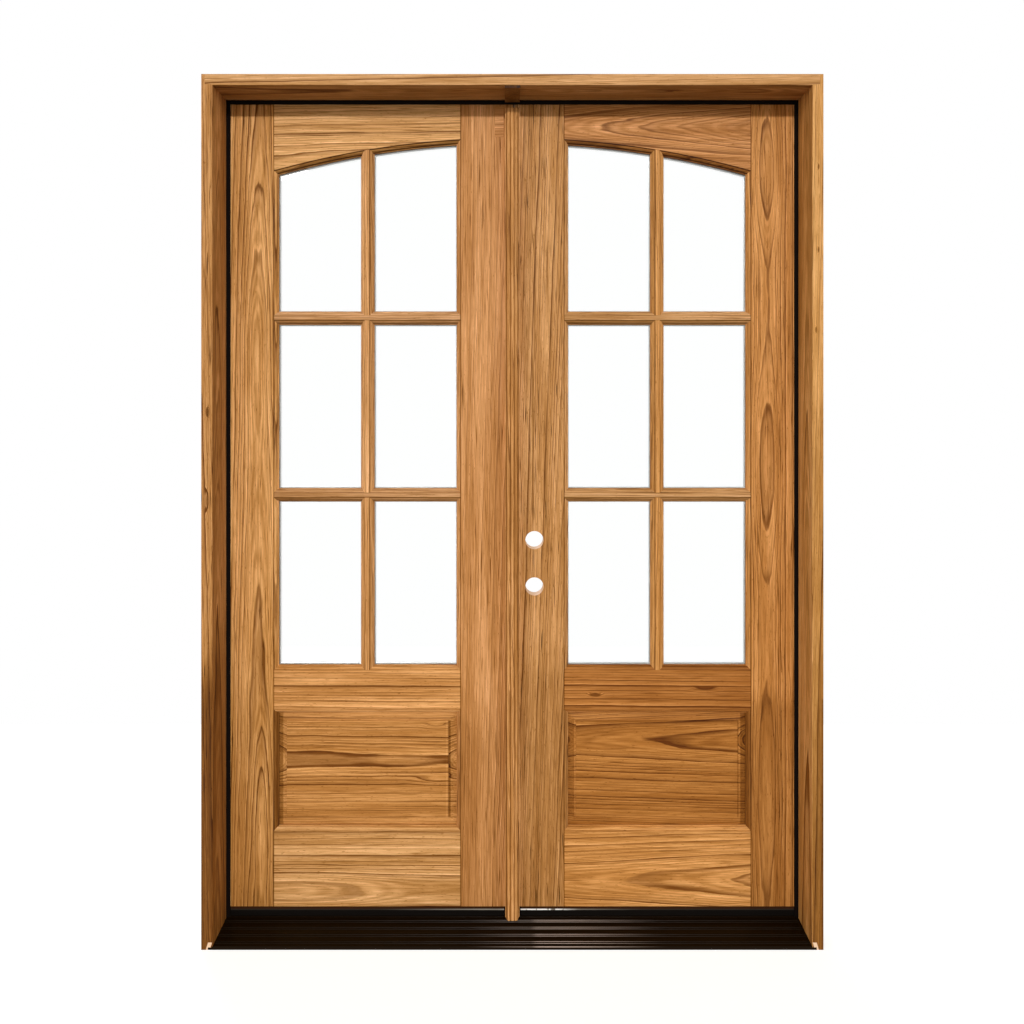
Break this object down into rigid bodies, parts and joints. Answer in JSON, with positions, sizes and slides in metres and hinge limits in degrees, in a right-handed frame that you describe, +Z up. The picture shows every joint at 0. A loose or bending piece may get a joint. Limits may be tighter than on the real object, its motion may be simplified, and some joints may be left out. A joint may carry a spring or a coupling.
{
  "type": "french doors",
  "caption": "Pair of inswing wood french doors with divided arched lites and raised panels, hung in a wood frame over a metal sill.",
  "frame": {"origin": "middle of the frame's foot: centre of the width, middle of the jamb's depth, underside of the sill", "axes": "+X to the right seen from outside, +Y from the street into the house, +Z up"},
  "size_m": [1.7842, 0.1791, 2.5114],
  "materials": {
    "stained_wood": "stained open-grain wood under a satin clear coat",
    "glazing": "clear insulated unit",
    "seal": "foam-filled weatherstrip",
    "sweep": "extruded vinyl",
    "hardware": "satin",
    "sill_metal": "dark bronze anodised extrusion",
    "sill_core": "composite substrate"
  },
  "bodies": {
    "frame": {"left_jamb": "stained_wood", "right_jamb": "stained_wood", "head_jamb": "stained_wood", "head_block": "stained_wood", "sill_base": "sill_core", "sill_tread": "sill_metal", "sill_cap": "sill_metal", "left_weatherstrip": "seal", "right_weatherstrip": "seal", "head_weatherstrip": "seal", "jamb_hinge_leaves": "hardware", "bolt_strikes": "hardware"},
    "right_leaf": {"right_hinge_stile": "stained_wood", "right_meeting_stile": "stained_wood", "right_raised_panel": "stained_wood", "right_top_rail": "stained_wood", "right_middle_rail": "stained_wood", "right_bottom_rail": "stained_wood", "right_upper_crossbar": "stained_wood", "right_lower_crossbar": "stained_wood", "right_lower_glazing_bar": "stained_wood", "right_centre_glazing_bar": "stained_wood", "right_upper_glazing_bar": "stained_wood", "right_upper_outer_pane": "glazing", "right_upper_inner_pane": "glazing", "right_centre_outer_pane": "glazing", "right_centre_inner_pane": "glazing", "right_lower_outer_pane": "glazing", "right_lower_inner_pane": "glazing", "right_bottom_sweep": "sweep", "right_glazing_beads": "stained_wood", "right_tenons": "stained_wood", "right_hinge_leaves": "hardware"},
    "left_leaf": {"left_hinge_stile": "stained_wood", "left_meeting_stile": "stained_wood", "left_raised_panel": "stained_wood", "left_top_rail": "stained_wood", "left_middle_rail": "stained_wood", "left_bottom_rail": "stained_wood", "left_upper_crossbar": "stained_wood", "left_lower_crossbar": "stained_wood", "left_lower_glazing_bar": "stained_wood", "left_centre_glazing_bar": "stained_wood", "left_upper_glazing_bar": "stained_wood", "left_upper_outer_pane": "glazing", "left_upper_inner_pane": "glazing", "left_centre_outer_pane": "glazing", "left_centre_inner_pane": "glazing", "left_lower_outer_pane": "glazing", "left_lower_inner_pane": "glazing", "left_bottom_sweep": "sweep", "left_glazing_beads": "stained_wood", "left_tenons": "stained_wood", "left_hinge_leaves": "hardware", "astragal": "stained_wood", "astragal_seal": "seal", "bolt_plates": "hardware"},
    "upper_bolt": {"upper_bolt": "hardware"},
    "lower_bolt": {"lower_bolt": "hardware"}
  },
  "joints": [
    {"name": "right_leaf_swing", "type": "hinge", "parent": "frame", "child": "right_leaf", "pos_m": [0.87144, 0.08995, 1.2], "axis": [0, 0, -1], "range_deg": [0, 110]},
    {"name": "left_leaf_swing", "type": "hinge", "parent": "frame", "child": "left_leaf", "pos_m": [-0.87144, 0.08995, 1.2], "axis": [0, 0, 1], "range_deg": [0, 99]},
    {"name": "upper_bolt_slide", "type": "slide", "parent": "left_leaf", "child": "upper_bolt", "axis": [0, 0, 1], "range_m": [0, 0.01905]},
    {"name": "lower_bolt_slide", "type": "slide", "parent": "left_leaf", "child": "lower_bolt", "axis": [0, 0, -1], "range_m": [0, 0.01905]}
  ],
  "couplings": [
    {"joint": "left_leaf_swing", "follows": "right_leaf_swing", "ratio": 0.9}
  ]
}
